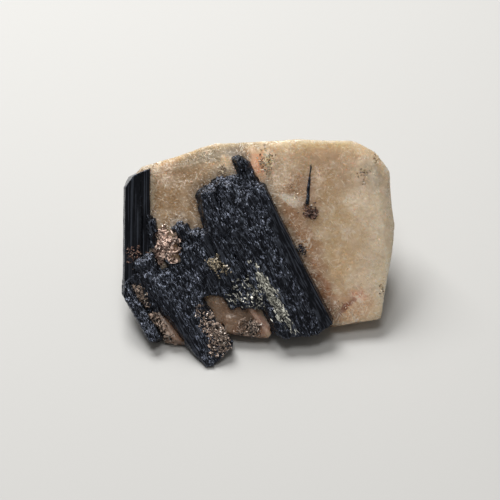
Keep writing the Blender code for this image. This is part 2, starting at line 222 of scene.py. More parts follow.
# Lumps of quartz between the crystals: one beside the lower crystal's foot, one in the mica pocket, the
# sill of the brown window, and the pink rim at its right.
QUARTZ_LUMPS = {
    "toe": Crystal(
        (-21.6, 0.6, -11.4), (-15.8, -1.6, -20.6), 4.6, 3.0, 0.9, THREE_SIDED,
        [((-15.8, 0, -20.2), (-0.2, -0.5, -1)), ((-18.5, -1.6, -18.5), (-0.8, -0.7, -0.5))],
    ),
    "nub": Crystal((-17.8, -0.8, 2.0), (-16.6, -0.8, -2.6), 2.6, 3.4, 1.0, HEXAGON, []),
    "sill": Crystal(
        (-6.6, -0.4, -15.6), (3.0, -0.4, -17.0), 4.2, 3.6, 0.9, SLAB, [((-2, -2, -18.2), (0, -0.4, -1))],
    ),
    "rim": Crystal((-1.4, -1.4, -12.0), (2.9, -1.4, -18.0), 1.7, 2.4, 1.0, HEXAGON, []),
}
EDGE_CRYSTALS = {
    "cap": Crystal(
        (-26.6, 2.4, -5.6), (-27.0, 1.6, -11.2), 3.6, 6.4, 1.0, HEXAGON,
        [((-27.4, 0, -6.2), (-0.5, -0.5, 1)), ((-27.4, 0, -10.4), (-0.9, 0, -0.5))],
    ),
    "blade": Crystal(
        (-27.7, 2.2, -7.6), (-20.6, -0.2, -19.2), 2.7, 5.6, 1.25, SLAB,
        [((-27.4, 0, -7.8), (-0.9, -0.2, 0.5)), ((-20.6, 0, -19.3), (-0.15, 0, -1))],
    ),
    "blade_rib": Crystal(
        (-24.6, 1.8, -9.2), (-20.0, 0.6, -17.4), 2.2, 4.8, 0.9, THREE_SIDED, [],
    ),
}
NEEDLE = Crystal((11.6, 0.0, 18.4), (10.7, -0.45, 9.5), 0.35, 0.60, 2.6, HEXAGON, [])
SLIVERS = {
    "sliver": Crystal((-21.7, 0.1, 6.4), (-21.0, 0.3, 3.8), 1.0, 2.0, 1.2, HEXAGON, []),
    "side": Crystal((-22.5, 0.3, 7.2), (-21.5, 0.3, 0.4), 1.7, 2.2, 1.4, THREE_SIDED, []),
}

# A group of crystals grown together: the solid that it stands for, its finish, its crystals, the size of
# its finest features and the depth of its ribs in millimetres, how strongly it's etched, and a seed.
Group = namedtuple("Group", "solid finish crystals grain ribs etched seed")

GROUPS = {
    "cluster": Group("tourmaline_cluster", "etched", {**CLUSTER, **SMALL_CRYSTALS}, 0.215, 0.13, 1.0, 11),
    "prism": Group("tourmaline_left_prism", "striated", LEFT_PRISM, 0.14, 0.36, 0.12, 31),
    "edge": Group("tourmaline_edge_crystals", "etched", EDGE_CRYSTALS, 0.16, 0.2, 0.6, 41),
    "needle": Group("tourmaline_needle", "etched", {"needle": NEEDLE}, 0.09, 0.0, 0.4, 51),
    "sliver": Group("tourmaline_sliver", "etched", SLIVERS, 0.12, 0.1, 0.6, 61),
}

# A patch of mica: its finish, its middle, its half-length, half-width and half-height, how far its length
# leans to the right of straight down the face in degrees, how many plates lie on a square millimetre of
# it, and their least and greatest size.
Patch = namedtuple("Patch", "finish middle length width height lean per_mm2 sizes")

MICA = {
    "mica_rosette": Patch("plum", (11.5, -0.5, 7.6), 1.5, 2.1, 0.6, 0, 10.0, (0.3, 0.7)),
    "mica_pocket": Patch("rose", (-19.4, -0.6, -0.1), 3.0, 2.5, 1.1, 8, 5.0, (0.5, 1.3)),
    "mica_streak": Patch("cream", (4.0, -3.4, -10.8), 6.4, 1.0, 0.8, 30, 8.0, (0.25, 0.6)),
    "mica_patch": Patch("gold", (-8.8, -2.5, -2.8), 2.0, 1.4, 0.7, 60, 10.0, (0.25, 0.6)),
    "mica_foot": Patch("pink", (-7.6, -4.5, -17.4), 3.9, 2.0, 0.9, 26, 9.0, (0.25, 0.6)),
    "mica_window": Patch("pink", (-0.6, -1.8, -16.0), 1.9, 2.1, 0.8, 0, 6.0, (0.4, 0.9)),
    "mica_edge": Patch("pink", (-20.9, -2.0, -15.0), 3.2, 0.75, 0.8, 42, 5.0, (0.5, 1.1)),
    "mica_left": Patch("pink", (-24.0, -0.7, -10.0), 1.5, 1.2, 0.8, 20, 6.0, (0.4, 1.0)),
}

# Where a crystal's faces are smooth: the middle of the area on the show face, its half-length and
# half-width, how far its length leans to the right of straight down, and how rough it still is.
Smooth = namedtuple("Smooth", "middle length width lean rough")

SMOOTH_FACES = (
    Smooth((9.8, -4.0), 17.0, 2.4, 26, 0.1),
    Smooth((-7.6, -3.0), 8.0, 1.5, 27, 0.35),
    Smooth((-15.0, -17.0), 6.0, 3.6, 26, 0.3),
)

# A smooth face is at its smoothest over the first share of its size, and turns rough over the second.
SMOOTH_CORE = 0.75
SMOOTH_RIM = 0.5

# An area of colour laid on the quartz, mostly stains, some painted shade and some painted light: its middle
# on the show face, its half-length and half-width, its lean, its colour, and how much of that colour shows.
ColourArea = namedtuple("ColourArea", "middle length width lean colour share")

STAINS_AND_PAINTED_LIGHT = (
    # Browner over the upper left.
    ColourArea((-17.0, 11.0), 12.0, 11.0, 0, "#a78a68", 0.85),
    # The grey-green strip along the top-left bevel: partly its own tone, partly painted shade that holds
    # down the light from above on the upturned bevel.
    ColourArea((-8.0, 20.6), 13.0, 2.2, -74, "#867b62", 0.9),
    # Paler towards the right side.
    ColourArea((24.0, 4.0), 22.0, 7.0, 0, "#ede0cb", 0.85),
    ColourArea((18.0, 2.0), 10.0, 6.0, 0, "#d7be99", 0.75),
    ColourArea((9.8, 3.0), 13.0, 3.0, 27, "#a87e5c", 0.85),
    ColourArea((14.8, -9.5), 8.0, 2.2, 27, "#a56d4c", 0.8),
    ColourArea((9.4, 12.0), 5.0, 4.0, 30, "#b28b70", 0.6),
    ColourArea((24.6, 16.0), 4.6, 2.2, 20, "#c3bdb0", 0.6),
    ColourArea((20.0, -12.0), 4.0, 6.0, 0, "#cfac8e", 0.7),
    # A pale pink spot on the ridge at the lower right: pink quartz, with a painted highlight on the ridge.
    ColourArea((21.6, -9.4), 1.4, 1.9, 0, "#dca78d", 0.9),
    ColourArea((18.8, -11.8), 3.8, 0.8, -48, "#84452f", 0.9),
    # A pale rim along the right edge: painted light, the glow of light through the thin edge.
    ColourArea((28.4, 3.0), 20.0, 1.5, 0, "#dcd1bd", 0.7),
    ColourArea((-17.4, -0.6), 2.6, 2.2, 0, "#7a5e45", 0.8),
    ColourArea((-7.2, 16.9), 1.1, 0.8, 0, "#5b3c24", 0.9),
)

# Where the quartz is clear, and its colour hides the frost: the brown window between the crystals, its
# paler sill and pink rim, the white veil, the pale contact along the left prism, the orange stain and
# the pale pit beside the knob, the ground of the mica pocket, and the lower left edge, partly painted shade.
CLEAR_PLACES_AND_PAINTED_SHADE = (
    ColourArea((-4.4, -13.4), 6.4, 7.6, 0, "#8e7462", 0.95),
    ColourArea((-1.0, -17.4), 1.9, 6.0, 0, "#977765", 0.85),
    ColourArea((1.0, -15.2), 4.2, 1.3, 35, "#dcb09e", 0.9),
    ColourArea((7.0, 10.6), 1.3, 2.9, -20, "#f4ece0", 0.85),
    ColourArea((-21.9, 12.6), 9.4, 0.45, 0, "#bdaf97", 0.7),
    ColourArea((0.4, 17.9), 3.8, 1.9, 14, "#fccaa2", 0.8),
    ColourArea((-6.2, 18.4), 1.8, 1.6, 0, "#ecd6b6", 0.7),
    ColourArea((2.6, 18.6), 2.8, 1.8, 0, "#fff0e0", 0.85),
    ColourArea((-17.2, 0.2), 3.4, 2.4, 0, "#977657", 0.8),
    # The pinkish-brown ground of the lower left edge: partly its own colour, partly painted shade where the
    # lower crystal shades it.
    ColourArea((-18.0, -17.0), 7.5, 3.6, 32, "#8e7163", 0.9),
)

# The middle of an area of colour lies this far out of the show face, and it reaches this deep. It fades
# between these shares of its size, and its edge is torn by clouds of this size, which push it this far.
COLOUR_AREA_OUT = 1.0
COLOUR_AREA_DEPTH = 6.0
COLOUR_AREA_RIM = (0.45, 1.15)
COLOUR_AREA_TEAR_SIZE = 3.0
COLOUR_AREA_TEAR_REACH = 3.4

# How far around them, and by how much, the black crystals darken the quartz.
NEAR_REACH = 2.4
NEAR_SHARE = 0.6

# Grains strewn over an area of the show face: the surface they lie on, the kind of grain, their finish,
# the middle of the area, its half-length and half-width, its lean, how many grains lie on a square
# millimetre, their least and greatest size, and how far they tilt.
Strewn = namedtuple("Strewn", "surface grain finish middle length width lean per_mm2 sizes tilt")

GRAINS = {
    "rosette_flakes": Strewn("quartz", "flake", "plum", (11.4, 8.0), 2.1, 2.4, 0, 11.0, (0.3, 0.7), 60),
    "pocket_flakes": Strewn("quartz", "flake", "rose", (-19.6, 0.4), 4.6, 3.5, 0, 7.0, (0.4, 1.8), 70),
    "left_flakes": Strewn("cluster", "flake", "pink", (-24.2, -9.6), 3.2, 1.7, 20, 6.0, (0.4, 1.1), 70),
    "edge_flakes": Strewn("quartz", "flake", "pink", (-20.4, -15.4), 5.6, 1.3, 42, 5.0, (0.5, 1.3), 70),
    "foot_flakes": Strewn("cluster", "flake", "pink", (-8.2, -18.2), 6.0, 2.4, 26, 5.0, (0.25, 0.9), 70),
    "shin_flakes": Strewn("cluster", "flake", "pink", (-10.6, -15.0), 4.0, 1.7, 26, 4.0, (0.25, 0.8), 70),
    "window_flakes": Strewn("quartz", "flake", "pink", (-1.4, -16.6), 2.8, 2.9, 0, 7.0, (0.3, 0.9), 70),
    "patch_flakes": Strewn("cluster", "flake", "gold", (-8.4, -3.2), 3.4, 2.0, 62, 6.0, (0.25, 0.7), 60),
    "bed_flakes": Strewn("cluster", "flake", "cream", (-3.6, -9.0), 3.2, 4.4, 50, 1.6, (0.25, 0.7), 60),
    "prism_flakes": Strewn("prism", "flake", "plum", (-25.6, -1.6), 3.2, 1.9, 0, 9.0, (0.2, 0.55), 60),
    "streak_splinters": Strewn(
        "cluster", "splinter", "cream", (3.5, -10.0), 8.8, 1.3, 31, 15.0, (0.4, 1.7), 20
    ),
    "bed_splinters": Strewn(
        "cluster", "splinter", "cream", (-1.4, -9.8), 5.0, 3.6, 40, 2.6, (0.4, 1.1), 40
    ),
    "foot_splinters": Strewn(
        "cluster", "splinter", "pink", (-8.4, -17.6), 6.4, 2.5, 26, 8.0, (0.4, 1.2), 70
    ),
    "pocket_splinters": Strewn(
        "quartz", "splinter", "rose", (-19.0, 1.2), 3.4, 3.2, 40, 5.0, (0.6, 2.0), 50
    ),
    "pit_specks": Strewn("quartz", "flake", "rust", (2.3, 18.7), 3.0, 2.0, 10, 7.0, (0.25, 0.8), 70),
    "brow_specks": Strewn("quartz", "flake", "rust", (-7.1, 17.0), 1.2, 0.9, 0, 12.0, (0.3, 0.6), 70),
    "veil_specks": Strewn("quartz", "flake", "rust", (8.2, 12.0), 2.2, 2.0, 0, 3.0, (0.2, 0.45), 70),
    "right_specks": Strewn("quartz", "flake", "rust", (22.4, 15.6), 2.0, 1.7, 0, 7.0, (0.25, 0.6), 70),
    "corner_specks": Strewn("quartz", "flake", "rust", (25.4, 19.2), 1.4, 1.6, 0, 6.0, (0.25, 0.6), 70),
    "side_specks": Strewn("quartz", "flake", "rust", (26.4, -8.4), 1.0, 0.9, 0, 9.0, (0.3, 0.6), 70),
    "toe_specks": Strewn("quartz", "flake", "rust", (17.6, -12.2), 1.6, 3.0, -30, 2.6, (0.25, 0.6), 70),
    "star_grains": Strewn("quartz", "splinter", "etched", (9.6, 0.1), 1.4, 1.1, 0, 18.0, (0.5, 1.4), 80),
    "stub_grains": Strewn("quartz", "splinter", "etched", (-15.6, 1.6), 1.8, 1.4, 0, 8.0, (0.5, 1.4), 80),
}

# Strewn grains lie in clumps of this size. The clumps push the rim of an area in and out by this much, and
# the grains thin out between these sums of the push and the distance from the middle. They lie only
# where the surface faces the viewer at least this squarely.
CLUMP_SIZE = 1.25
CLUMP_REACH = 2.4
CLUMP_RIM = (1.7, 2.1)
FACING_LEAST = 0.15

# How thick a flake and a splinter are, as a share of their length. The core of a patch of mica fills these
# shares of its width, height and length, and the plates on it tilt by up to this many degrees.
FLAKE_THICKNESS = 0.14
SPLINTER_SLIM = 0.24
MICA_CORE = (0.6, 0.7, 0.7)
PLATE_TILT = 75

# Clouds of noise: their size in millimetres, or in the units of a stretched pattern, the values that are
# spread to 0 and 1, and how much finer detail they have.
Cloud = namedtuple("Cloud", "size low high detail")

QUARTZ_TONES = Cloud(9.0, 0.35, 0.65, 4.0)
QUARTZ_FROST = Cloud(6.0, 0.52, 0.68, 2.0)
QUARTZ_GLOSS = Cloud(2.4, 0.35, 0.65, 3.0)
QUARTZ_PAINTED_GLINTS = Cloud(1.0, 0.675, 0.70, 1.0)
SCHORL_FILM = Cloud(0.6, 0.5, 0.75, 2.0)
SCHORL_RIB_SHEEN = Cloud(1.0, 0.5, 0.62, 1.0)
SPARKLE_PATCHES = Cloud(7.0, 0.35, 0.6, 2.0)
CREST_GAPS = Cloud(1.1, 0.52, 0.62, 2.0)
MICA_SPECKS = Cloud(0.4, 0.45, 0.62, 2.0)

# Light and dark speckles in the quartz: their clouds, how much they show, and their colour.
SPECKLES = (
    (Cloud(2.4, 0.5, 0.66, 3.0), 0.20, "#dccfbc"),
    (Cloud(1.8, 0.5, 0.66, 3.0), 0.18, "#82664c"),
    (Cloud(0.45, 0.5, 0.66, 3.0), 0.12, "#fff4e2"),
    (Cloud(0.6, 0.5, 0.66, 3.0), 0.12, "#81654c"),
)

# The frosty wisps inside the quartz, and the painted glints of light on it, run several ways, in degrees,
# and are drawn by clouds this many millimetres across and along. A wisp is drawn where its clouds are this
# near their middle value, and each shows by its own share.
WISP_TURNS = ((0, 20, 0), (0, 75, 20), (0, -40, 0), (20, -65, 0))
WISP_SIZE = (1.6, 2.0, 4.4)
WISP_WIDTH = 0.02
WISP_SHARE = 0.42
PAINTED_GLINT_SIZE = (0.22, 0.5, 1.9)
PAINTED_GLINT_SHARE = 0.6

# How finely the surfaces are worked, in millimetres.
QUARTZ_GRAIN = 0.34
RIB_WIDTH = 0.34
MICA_GRAIN = 0.16

# How wide the edges of the quartz are worn, and the angles past which an edge is left sharp.
EDGE_WEAR = 0.35
QUARTZ_SHARP = 40
TOURMALINE_SHARP = 50

# A rib on a crystal is one of these numbers of steps broad, and is this deep on a small lump of quartz.
RIB_STEPS = (1, 1, 2, 2, 3, 5)
QUARTZ_RIBS = 0.1

# The small facets of the tourmaline's etched faces, in millimetres across and along a crystal, the clouds
# that tear their edges, and the thin pale crests that run over them, partly paler film and partly painted
# glints. Real facets are finer still: these are as coarse as they have to be to show.
FACET_WIDTH = 0.16
FACET_LENGTH = 0.52
FACET_TEAR_SIZE = 0.7
FACET_TEAR_REACH = 0.5
CREST_SIZE = 0.7
CREST_WIDTH = 0.035

# Relief worked into a surface: its name and kind of texture, its size and depth in millimetres, and how
# many layers of finer detail it has. On tourmaline it is stretched along the crystal.
Relief = namedtuple("Relief", "name kind size depth layers")

QUARTZ_RELIEF = (
    Relief("swells", "CLOUDS", 11.0, 0.8, 1),
    Relief("chips", "VORONOI", 3.4, 0.16, 0),
    Relief("frost", "CLOUDS", 0.8, 0.09, 3),
)
TOURMALINE_RELIEF = (
    Relief("swells", "CLOUDS", 2.6, 0.7, 1),
    Relief("etched", "VORONOI", 0.6, 0.42, 0),
    Relief("threads", "CLOUDS", 0.42, 0.4, 1),
)
MICA_RELIEF = (
    Relief("ledges", "VORONOI", 1.1, 0.9, 0),
    Relief("crumbs", "VORONOI", 0.45, 0.35, 0),
)
STREAK_STRETCH = 3.0

# Seeds: of the small lumps of quartz, and of the first area of grains and the first patch of mica.
QUARTZ_SEED = 71
FIRST_GRAIN_SEED = 100
FIRST_MICA_SEED = 400


def linear(code):
    """An sRGB hex colour as linear red, green, blue and alpha."""
    parts = [int(code[start : start + 2], 16) / 255 for start in (1, 3, 5)]
    return [p / 12.92 if p <= 0.04045 else ((p + 0.055) / 1.055) ** 2.4 for p in parts] + [1.0]


def deselect():
    bpy.ops.object.select_all(action="DESELECT")


def pick(*objects):
    """Selects these objects alone, and makes the first one active."""
    deselect()
    for one in objects:
        one.select_set(True)
    bpy.context.view_layer.objects.active = objects[0]


def apply_modifiers(piece):
    pick(piece)
    for step in list(piece.modifiers):
        bpy.ops.object.modifier_apply(modifier=step.name)


def stand_in_place(piece):
    """Moves a piece from the show face's frame to where it lies in the world, into its mesh."""
    piece.location = FACE_CENTRE
    piece.rotation_euler = (-FACE_LEAN, 0, 0)
    pick(piece)
    bpy.ops.object.transform_apply(location=True, rotation=True, scale=True)


def keep_inside(piece):
    """Trims a piece that stands in the world where it would pass the box of the solids."""
    corners = [piece.matrix_world @ vertex.co for vertex in piece.data.vertices]
    for at in range(3):
        facing = Vector([float(at == other) for other in range(3)])
        if max(corner[at] for corner in corners) > CAD_HIGH[at]:
            break_off(piece, (Vector(CAD_HIGH) / MM, facing))
        if min(corner[at] for corner in corners) < CAD_LOW[at]:
            break_off(piece, (Vector(CAD_LOW) / MM, -facing))


def break_off(piece, *breaks):
    """Breaks off what lies beyond each plane, and closes the new faces."""
    pick(piece)
    bpy.ops.object.mode_set(mode="EDIT")
    for point, facing in breaks:
        bpy.ops.mesh.select_all(action="SELECT")
        bpy.ops.mesh.bisect(
            plane_co=Vector(point) * MM,
            plane_no=Vector(facing).normalized(),
            use_fill=True,
            clear_outer=True,
            threshold=1e-7,
        )
    bpy.ops.object.mode_set(mode="OBJECT")


def rest_on_table(piece, sharp_past):
    """Cuts a piece off flat where it meets the table, and shades all but its sharp edges smooth."""
    break_off(piece, TABLE)
    pick(piece)
    bpy.ops.object.shade_smooth_by_angle(angle=math.radians(sharp_past))


def add_skin(piece, grain):
    """Gives a piece one closed skin of even faces, of a size in millimetres."""
    skin = piece.modifiers.new("skin", "REMESH")
    skin.mode = "VOXEL"
    skin.voxel_size = grain * MM
    apply_modifiers(piece)


def guide_along(name, top, foot, stretch):
    """An empty whose z runs along a crystal in millimetres, stretched so that textures streak along it."""
    axis = (Vector(foot) - Vector(top)).normalized()
    empty = bpy.data.objects.new(name, None)
    bpy.context.scene.collection.objects.link(empty)
    turn = axis.to_track_quat("Z", "Y").to_matrix().to_4x4()
    empty.matrix_world = turn @ Matrix.Diagonal((MM, MM, MM * stretch, 1))
    return empty


def roughen(piece, reliefs, guide, share=1.0, group=""):
    """Works a share of each relief into a surface, laid out by a guide that is then removed."""
    for relief in reliefs:
        texture = bpy.data.textures.new(relief.name, relief.kind)
        texture.noise_scale = relief.size
        if relief.layers:
            texture.noise_depth = relief.layers
        step = piece.modifiers.new(relief.name, "DISPLACE")
        step.texture = texture
        step.texture_coords = "OBJECT"
        step.texture_coords_object = guide
        step.strength = relief.depth * share * MM
        step.mid_level = 0.5
        step.vertex_group = group
    apply_modifiers(piece)
    bpy.data.objects.remove(guide)


def weigh_roughness(piece):
    """Stores how rough each point of a crystal group is: rough all over but for its smooth faces."""
    group = piece.vertex_groups.new(name="etched")
    weights = []
    for vertex in piece.data.vertices:
        weight = 1.0
        for face in SMOOTH_FACES:
            lean = math.radians(face.lean)
            x = vertex.co.x / MM - face.middle[0]
            z = vertex.co.z / MM - face.middle[1]
            along = (x * math.sin(lean) - z * math.cos(lean)) / face.length
            aside = (x * math.cos(lean) + z * math.sin(lean)) / face.width
            far = min(1.0, max(0.0, math.hypot(along, aside) - SMOOTH_CORE) / SMOOTH_RIM)
            weight = min(weight, face.rough + (1 - face.rough) * far)
        group.add([vertex.index], weight, "REPLACE")
        weights.append(weight)
    stored = piece.data.attributes.new("rough", "FLOAT", "POINT")
    stored.data.foreach_set("value", weights)


def ribbed_ring(spec, depth, draw):
    """The points around a crystal at its top, with ribs of uneven width and height along every side."""
    half = Vector((spec.width / 2, spec.depth / 2))
    corners = [Vector((across * half.x, out * half.y)) for across, out in spec.outline]
    points = []
    height = 0.0
    left = 0
    for corner, after in zip(corners, corners[1:] + corners[:1]):
        side = after - corner
        inward = Vector((-side.y, side.x)).normalized()
        steps = max(2, round(side.length / RIB_WIDTH))
        for step in range(steps):
            if left == 0:
                left = draw.choice(RIB_STEPS)
                height = draw.uniform(0, depth)
            left -= 1
            points.append(corner + side * step / steps + inward * height)
    return points


def ribbed_prism(name, ring, length, taper):
    """A ring drawn out along z and tapered to its far end."""
    bpy.ops.mesh.primitive_circle_add(vertices=len(ring), radius=MM, fill_type="NGON")
    prism = bpy.context.object
    prism.name = name
    for vertex, point in zip(prism.data.vertices, ring):
        vertex.co = (point.x * MM, point.y * MM, 0)
    bpy.ops.object.mode_set(mode="EDIT")
    bpy.ops.mesh.select_all(action="SELECT")
    bpy.ops.mesh.extrude_region_move(TRANSFORM_OT_translate={"value": (0, 0, length * MM)})
    bpy.ops.transform.resize(value=(taper, taper, 1), center_override=(0, 0, length * MM))
    bpy.ops.mesh.select_all(action="SELECT")
    bpy.ops.mesh.normals_make_consistent(inside=False)
    bpy.ops.object.mode_set(mode="OBJECT")
    return prism


def grow_crystal(name, spec, ribs, seed):
    """One ribbed prism, laid along its axis with its broad side to the viewer, and broken at its ends."""
    top, foot = Vector(spec.top), Vector(spec.foot)
    length = (foot - top).length
    axis = (foot - top) / length
    viewer = Vector((0, -1, 0))
    out = (viewer - axis * viewer.dot(axis)).normalized()
    across = out.cross(axis)
    prism = ribbed_prism(name, ribbed_ring(spec, ribs, random.Random(seed)), length, spec.taper)
    turn = Matrix((across, out, axis)).transposed().to_4x4()
    prism.matrix_world = Matrix.Translation(top * MM) @ turn
    pick(prism)
    bpy.ops.object.transform_apply(location=True, rotation=True, scale=True)
    break_off(prism, *spec.breaks)
    return prism


def crystal_group(name, group):
    """Crystals grown together: joined, remeshed to one skin, then etched along their length."""
    prisms = [
        grow_crystal(part, spec, group.ribs, group.seed + at)
        for at, (part, spec) in enumerate(group.crystals.items())
    ]
    pick(*prisms)
    if len(prisms) > 1:
        bpy.ops.object.join()
    grown = bpy.context.object
    grown.name = name + "_crystals"
    add_skin(grown, group.grain)
    weigh_roughness(grown)
    first = next(iter(group.crystals.values()))
    streaks = guide_along("streaks", first.top, first.foot, STREAK_STRETCH)
    roughen(grown, TOURMALINE_RELIEF, streaks, group.etched, "etched")
    rest_on_table(grown, TOURMALINE_SHARP)
    return grown


def press_shell(block, name, deepest, facing, radius):
    """Presses one shell-shaped hollow into a block with a ball."""
    centre = Vector(deepest) + Vector(facing).normalized() * radius
    bpy.ops.mesh.primitive_uv_sphere_add(
        segments=64, ring_count=48, radius=radius * MM, location=centre * MM
    )
    ball = bpy.context.object
    cut = block.modifiers.new(name, "BOOLEAN")
    cut.object = ball
    cut.operation = "DIFFERENCE"
    apply_modifiers(block)
    bpy.data.objects.remove(ball)


def broken_block(name):
    """A block chipped on every side, with worn edges and shell-shaped hollows."""
    bpy.ops.mesh.primitive_cube_add(size=BLOCK * MM)
    block = bpy.context.object
    block.name = name
    break_off(block, *QUARTZ_BREAKS.values())
    wear = block.modifiers.new("worn_edges", "BEVEL")
    wear.width = EDGE_WEAR * MM
    wear.segments = 1
    apply_modifiers(block)
    for shell, place in QUARTZ_SHELLS.items():
        press_shell(block, shell, *place)
    return block


def quartz_lump():
    """The broken block and the small lumps of quartz beside the crystals, as one chipped, frosted skin."""
    lump = broken_block("quartz_lump")
    grown = [grow_crystal(name, spec, QUARTZ_RIBS, QUARTZ_SEED) for name, spec in QUARTZ_LUMPS.items()]
    pick(lump, *grown)
    bpy.ops.object.join()
    add_skin(lump, QUARTZ_GRAIN)
    roughen(lump, QUARTZ_RELIEF, guide_along("quartz_guide", (0, 0, 0), (0.3, 0.2, 1), 1.0))
    rest_on_table(lump, QUARTZ_SHARP)
    return lump


def add(tree, kind, inputs=None, **settings):
    """Adds a node with its settings. An input is a value, or the output that feeds it."""
    made = tree.nodes.new(kind)
    for name, value in settings.items():
        setattr(made, name, value)
    for key, value in (inputs or {}).items():
        if isinstance(value, bpy.types.NodeSocket):
            tree.links.new(value, made.inputs[key])
        else:
            made.inputs[key].default_value = value
    return made


def new_material(name, values):
    """A Principled material with some of its own values set."""
    made = bpy.data.materials.new(name)
    made.use_nodes = True
    shader = made.node_tree.nodes["Principled BSDF"]
    for socket, value in values.items():
        shader.inputs[socket].default_value = value
    return made, made.node_tree, shader


def face_millimetres(tree, turn=(0, 0, 0), stretch=(1, 1, 1)):
    """Coordinates in millimetres in the show face's frame, turned and stretched further if asked."""
    place = add(tree, "ShaderNodeTexCoord")
    flat = add(
        tree, "ShaderNodeMapping",
        {"Vector": place.outputs["Object"], "Location": FACE_CENTRE, "Rotation": (-FACE_LEAN, 0, 0),
         "Scale": (MM, MM, MM)},
        vector_type="TEXTURE",
    )
    turned = add(
        tree, "ShaderNodeMapping",
        {"Vector": flat.outputs["Vector"], "Rotation": [math.radians(a) for a in turn], "Scale": stretch},
        vector_type="TEXTURE",
    )
    return turned.outputs["Vector"]


def tinted(tree, colour, mask, share, tint):
    """Lays a share of a tint over a colour where a mask is high."""
    amount = add(tree, "ShaderNodeMath", {0: mask, 1: share}, operation="MULTIPLY")
    laid = add(
        tree, "ShaderNodeMix", {0: amount.outputs[0], 6: colour, 7: linear(tint)},
        data_type="RGBA", clamp_factor=True,
    )
    return laid.outputs[2]


def noise(tree, place, cloud):
    """Clouds of noise, spread from 0 where they are low to 1 where they are high."""
    drawn = add(
        tree, "ShaderNodeTexNoise", {"Vector": place, "Scale": 1 / cloud.size, "Detail": cloud.detail}
    )
    spread = add(
        tree, "ShaderNodeMapRange",
        {"Value": drawn.outputs["Fac"], "From Min": cloud.low, "From Max": cloud.high},
    )
    return spread.outputs["Result"]


def threads(tree, place, size, width):
    """Thin curved lines, drawn where clouds of a size pass through their middle value."""
    cloud = add(tree, "ShaderNodeTexNoise", {"Vector": place, "Scale": 1 / size, "Detail": 1.0})
    line = add(
        tree, "ShaderNodeMath", {0: cloud.outputs["Fac"], 1: 0.5, 2: width}, operation="COMPARE"
    )
    return line.outputs[0]


def ragged(tree, place, size, reach):
    """The same coordinates, pushed about by noise, so that what is laid on them has torn edges."""
    cloud = add(tree, "ShaderNodeTexNoise", {"Vector": place, "Scale": 1 / size, "Detail": 3.0})
    centred = add(
        tree, "ShaderNodeVectorMath", {0: cloud.outputs["Color"], 1: (0.5, 0.5, 0.5)}, operation="SUBTRACT"
    )
    pushed = add(
        tree, "ShaderNodeVectorMath",
        {0: centred.outputs[0], 1: (reach, reach, reach), 2: place}, operation="MULTIPLY_ADD",
    )
    return pushed.outputs[0]


def lay_colour_area(tree, place, colour, colour_area):
    """Lays one area of colour over a colour, full in its middle and gone at its rim: stains, painted shade
    and painted light alike.
    """
    across, up = colour_area.middle
    local = add(
        tree, "ShaderNodeMapping",
        {"Vector": place, "Location": (across, -COLOUR_AREA_OUT, up),
         "Rotation": (0, -math.radians(colour_area.lean), 0), "Scale": (colour_area.width, COLOUR_AREA_DEPTH, colour_area.length)},
        vector_type="TEXTURE",
    )
    far = add(tree, "ShaderNodeVectorMath", {0: local.outputs["Vector"]}, operation="LENGTH")
    mask = add(
        tree, "ShaderNodeMapRange",
        {"Value": far.outputs["Value"], "From Min": COLOUR_AREA_RIM[0], "From Max": COLOUR_AREA_RIM[1],
         "To Min": 1.0, "To Max": 0.0},
        interpolation_type="SMOOTHSTEP",
    )
    return tinted(tree, colour, mask.outputs["Result"], colour_area.share, colour_area.colour)


def quartz_colour(tree, face):
    """Smoky brown, dark beside the crystals, then stains and painted light, speckles, wisps, painted glints,
    and clear places.
    """
    colour = tinted(tree, linear("#c8ab88"), noise(tree, face, QUARTZ_TONES), 1.0, "#dbc9ae")
    torn = ragged(tree, face, COLOUR_AREA_TEAR_SIZE, COLOUR_AREA_TEAR_REACH)
    for colour_area in STAINS_AND_PAINTED_LIGHT:
        colour = lay_colour_area(tree, torn, colour, colour_area)
    near = add(tree, "ShaderNodeAttribute", attribute_name="near")
    colour = tinted(tree, colour, near.outputs["Fac"], NEAR_SHARE, "#4e3521")
    frost = noise(tree, face, QUARTZ_FROST)
    for cloud, share, tint in SPECKLES:
        colour = tinted(tree, colour, noise(tree, face, cloud), share, tint)
    for turn in WISP_TURNS:
        wisp = threads(tree, face_millimetres(tree, turn, WISP_SIZE), 1.0, WISP_WIDTH)
        frosted = add(tree, "ShaderNodeMath", {0: wisp, 1: frost}, operation="MULTIPLY")
        colour = tinted(tree, colour, frosted.outputs[0], WISP_SHARE, "#fff4e6")
        # Painted glints: small bright specks of painted light over the quartz.
        painted_glint = noise(tree, face_millimetres(tree, turn, PAINTED_GLINT_SIZE), QUARTZ_PAINTED_GLINTS)
        colour = tinted(tree, colour, painted_glint, PAINTED_GLINT_SHARE, "#fff6ea")
    for colour_area in CLEAR_PLACES_AND_PAINTED_SHADE:
        colour = lay_colour_area(tree, torn, colour, colour_area)
    return colour


